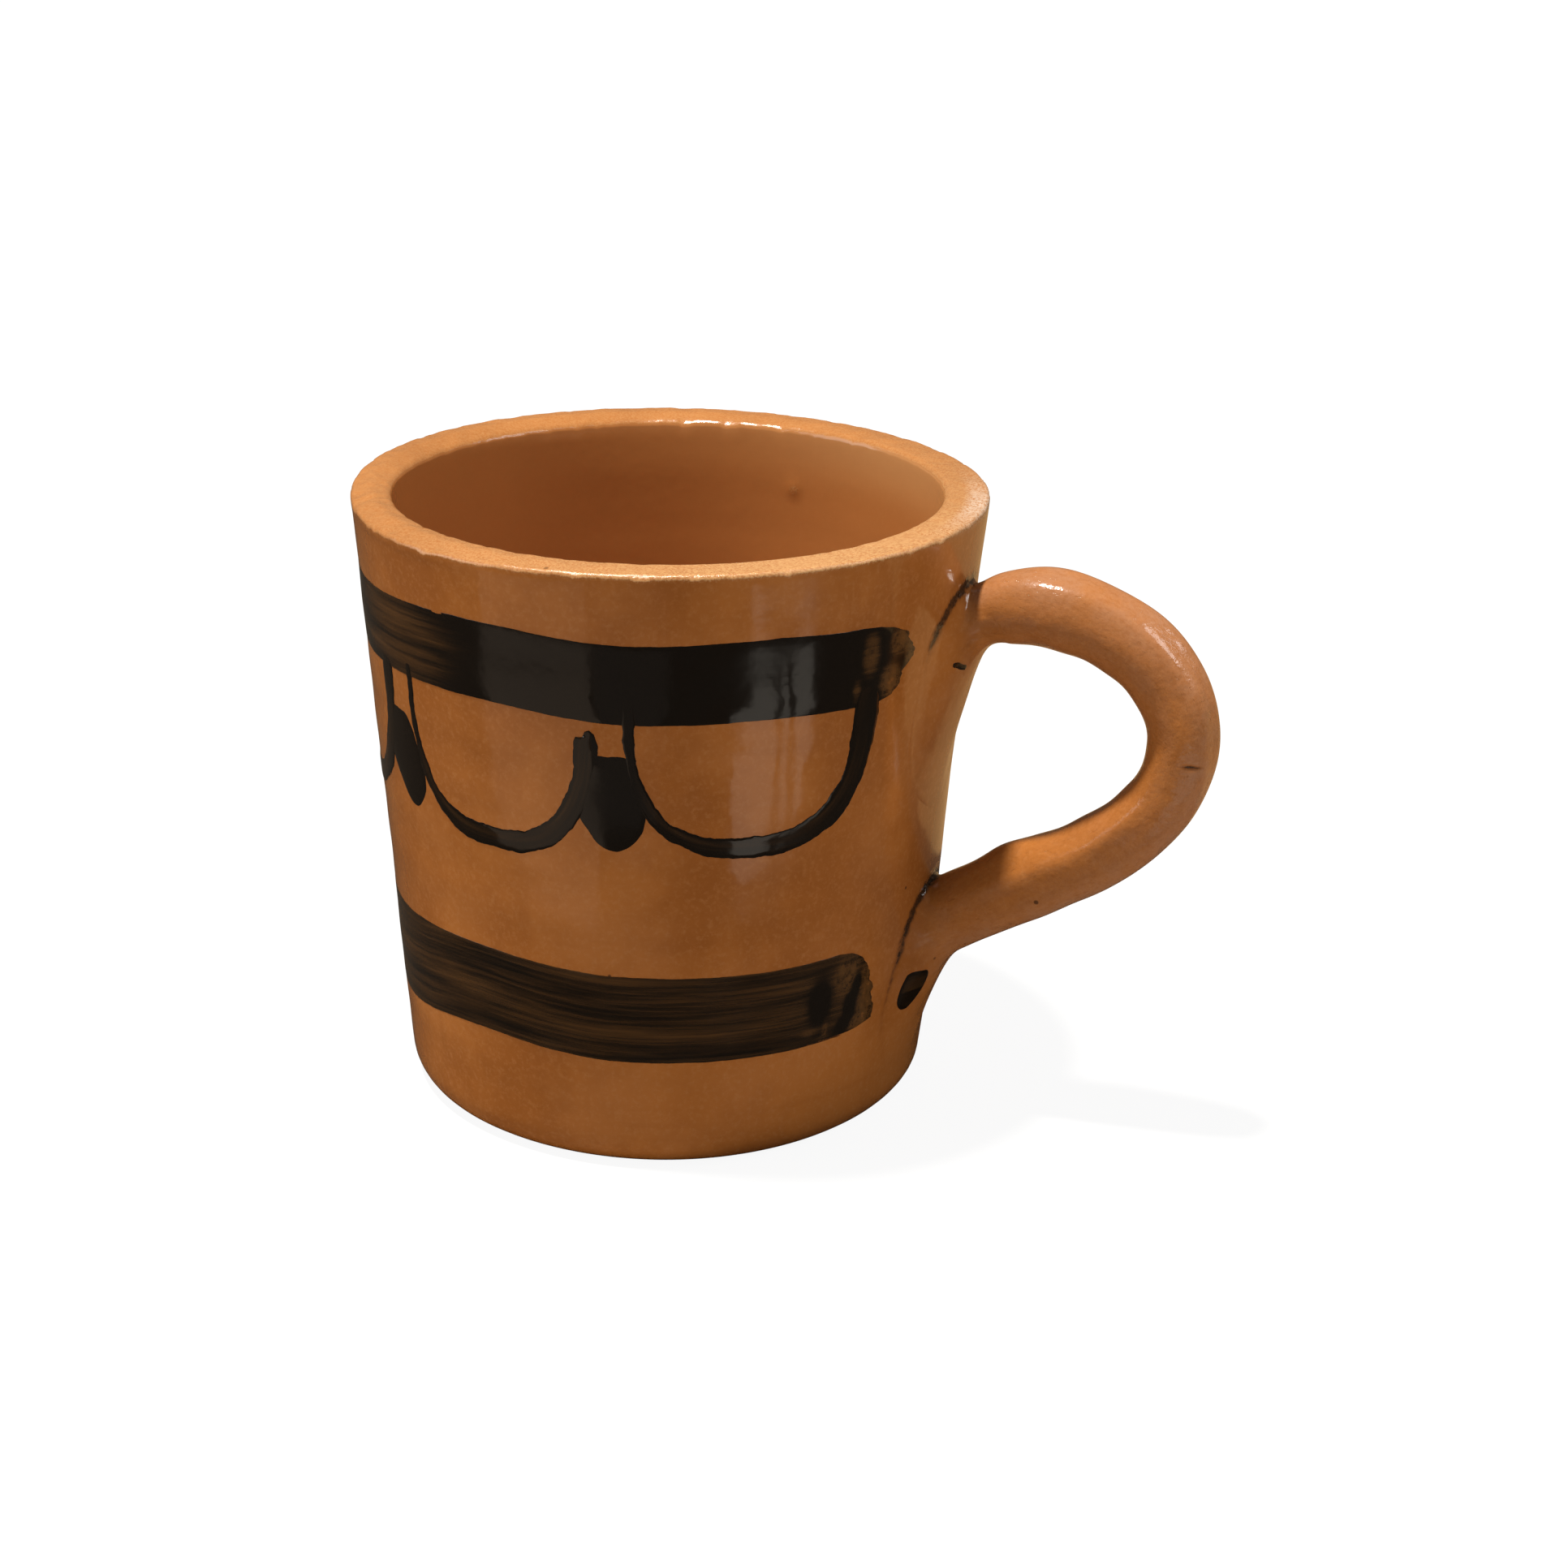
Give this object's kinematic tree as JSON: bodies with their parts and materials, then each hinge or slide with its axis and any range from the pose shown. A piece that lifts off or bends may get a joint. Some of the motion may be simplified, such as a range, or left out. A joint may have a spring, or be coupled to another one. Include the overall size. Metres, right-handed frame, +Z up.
{
  "type": "mug",
  "caption": "Hand-thrown earthenware mug with a rolled-coil ear handle, brushed dark slip bands and hanging swags under a clear glaze, for a hot drink.",
  "frame": {"origin": "centre of the underside of the foot, where the mug rests", "axes": "+Z up out of the mouth, +X from the mug's axis through the handle, +Y across the handle"},
  "size_m": [0.1255, 0.0896, 0.0893],
  "materials": {
    "glazed_terracotta": "brown-orange fired clay under a glossy clear glaze",
    "dark_slip": "brushed black-brown slip under the same clear glaze"
  },
  "bodies": {
    "root": {"thrown_body": "glazed_terracotta", "handle_coil": "glazed_terracotta", "upper_root": "glazed_terracotta", "lower_root": "glazed_terracotta", "upper_band": "dark_slip", "lower_band": "dark_slip", "swag_1": "dark_slip", "swag_2": "dark_slip", "swag_3": "dark_slip", "swag_4": "dark_slip", "swag_5": "dark_slip", "swag_6": "dark_slip", "drop_1": "dark_slip", "drop_2": "dark_slip", "drop_3": "dark_slip", "drop_4": "dark_slip", "drop_5": "dark_slip", "handle_dab": "dark_slip", "root_fleck": "dark_slip"}
  },
  "joints": []
}
